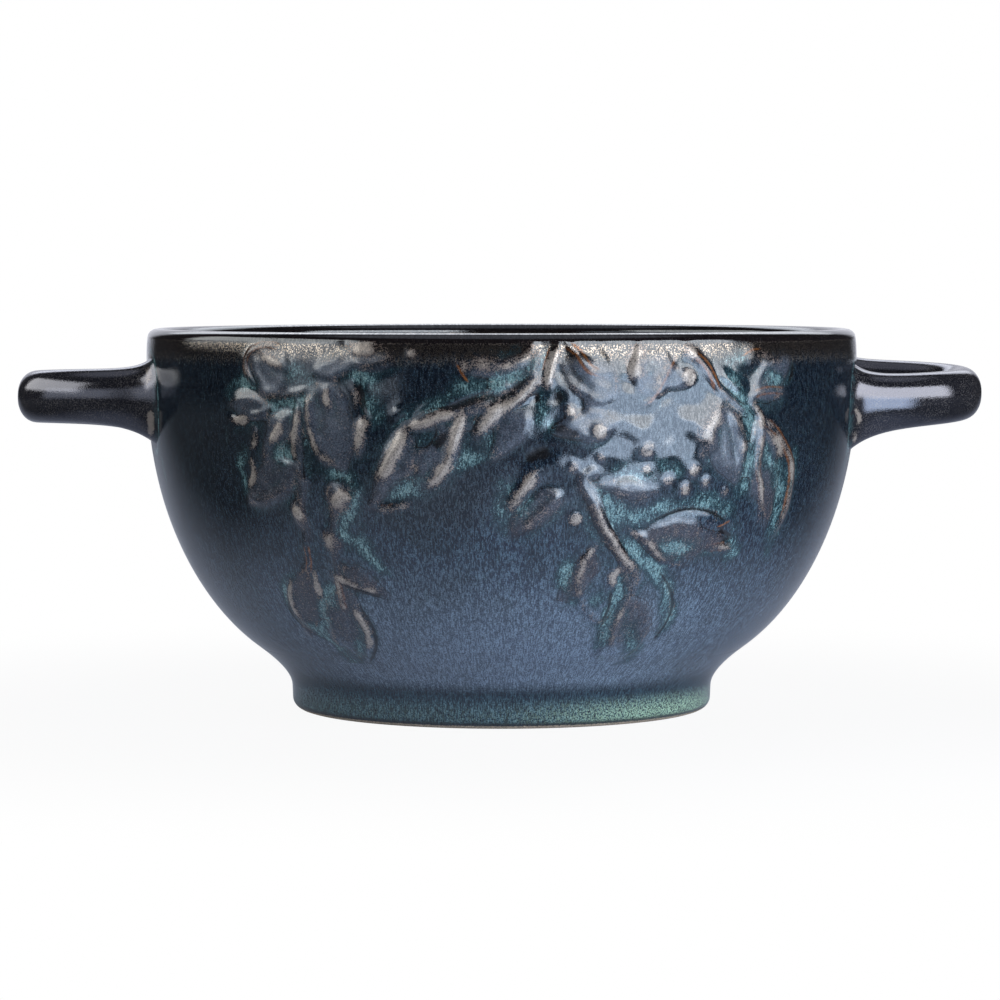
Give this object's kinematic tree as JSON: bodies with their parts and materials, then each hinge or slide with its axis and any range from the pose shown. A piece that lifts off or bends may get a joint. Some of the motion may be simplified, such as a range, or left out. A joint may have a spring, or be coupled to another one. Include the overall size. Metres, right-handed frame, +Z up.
{
  "type": "soup cup",
  "caption": "Round-bellied stoneware soup cup on a foot ring, with a loop handle at each side and leaf and berry sprigs in relief under a dark blue running glaze.",
  "frame": {"origin": "middle of the foot's resting face, at table level", "axes": "+Z up, the handles along X with the right handle at +X, the pictured face towards -Y"},
  "size_m": [0.1908, 0.1432, 0.075],
  "materials": {
    "bowl_glaze": "glossy dark blue glaze with fine streaks, brown-black at the lip",
    "foot_glaze": "glossy mottled blue-green glaze, bare clay on the resting face",
    "handle_glaze": "glossy black-blue glaze with fine grey speckle",
    "sprig_glaze": "blue glaze broken to tan and brown on the raised edges"
  },
  "bodies": {
    "root": {"bowl_floor": "bowl_glaze", "bowl_belly": "bowl_glaze", "bowl_wall": "bowl_glaze", "foot_ring": "foot_glaze", "right_handle": "handle_glaze", "left_handle": "handle_glaze", "front_left_rosette_leaf_1": "sprig_glaze", "front_left_rosette_leaf_2": "sprig_glaze", "front_left_rosette_leaf_3": "sprig_glaze", "front_left_rosette_leaf_4": "sprig_glaze", "front_left_rosette_leaf_5": "sprig_glaze", "front_left_rosette_leaf_6": "sprig_glaze", "front_left_rosette_stem": "sprig_glaze", "front_left_pendant_leaf_1": "sprig_glaze", "front_left_pendant_leaf_2": "sprig_glaze", "front_left_pendant_stem": "sprig_glaze", "front_branch_leaf_1": "sprig_glaze", "front_branch_leaf_2": "sprig_glaze", "front_branch_leaf_3": "sprig_glaze", "front_branch_stem": "sprig_glaze", "front_right_rosette_leaf_1": "sprig_glaze", "front_right_rosette_leaf_2": "sprig_glaze", "front_right_rosette_leaf_3": "sprig_glaze", "front_right_rosette_leaf_4": "sprig_glaze", "front_right_rosette_stem": "sprig_glaze", "front_right_pendant_leaf_1": "sprig_glaze", "front_right_pendant_leaf_2": "sprig_glaze", "front_lower_spray_leaf_1": "sprig_glaze", "front_lower_spray_leaf_2": "sprig_glaze", "front_lower_spray_leaf_3": "sprig_glaze", "front_lower_spray_leaf_4": "sprig_glaze", "front_lower_spray_leaf_5": "sprig_glaze", "front_lower_spray_stem": "sprig_glaze", "back_left_rosette_leaf_1": "sprig_glaze", "back_left_rosette_leaf_2": "sprig_glaze", "back_left_rosette_leaf_3": "sprig_glaze", "back_left_rosette_leaf_4": "sprig_glaze", "back_left_rosette_leaf_5": "sprig_glaze", "back_left_rosette_leaf_6": "sprig_glaze", "back_left_rosette_stem": "sprig_glaze", "back_left_pendant_leaf_1": "sprig_glaze", "back_left_pendant_leaf_2": "sprig_glaze", "back_left_pendant_stem": "sprig_glaze", "back_branch_leaf_1": "sprig_glaze", "back_branch_leaf_2": "sprig_glaze", "back_branch_leaf_3": "sprig_glaze", "back_branch_stem": "sprig_glaze", "back_right_rosette_leaf_1": "sprig_glaze", "back_right_rosette_leaf_2": "sprig_glaze", "back_right_rosette_leaf_3": "sprig_glaze", "back_right_rosette_leaf_4": "sprig_glaze", "back_right_rosette_stem": "sprig_glaze", "back_right_pendant_leaf_1": "sprig_glaze", "back_right_pendant_leaf_2": "sprig_glaze", "back_lower_spray_leaf_1": "sprig_glaze", "back_lower_spray_leaf_2": "sprig_glaze", "back_lower_spray_leaf_3": "sprig_glaze", "back_lower_spray_leaf_4": "sprig_glaze", "back_lower_spray_leaf_5": "sprig_glaze", "back_lower_spray_stem": "sprig_glaze"}
  },
  "joints": []
}
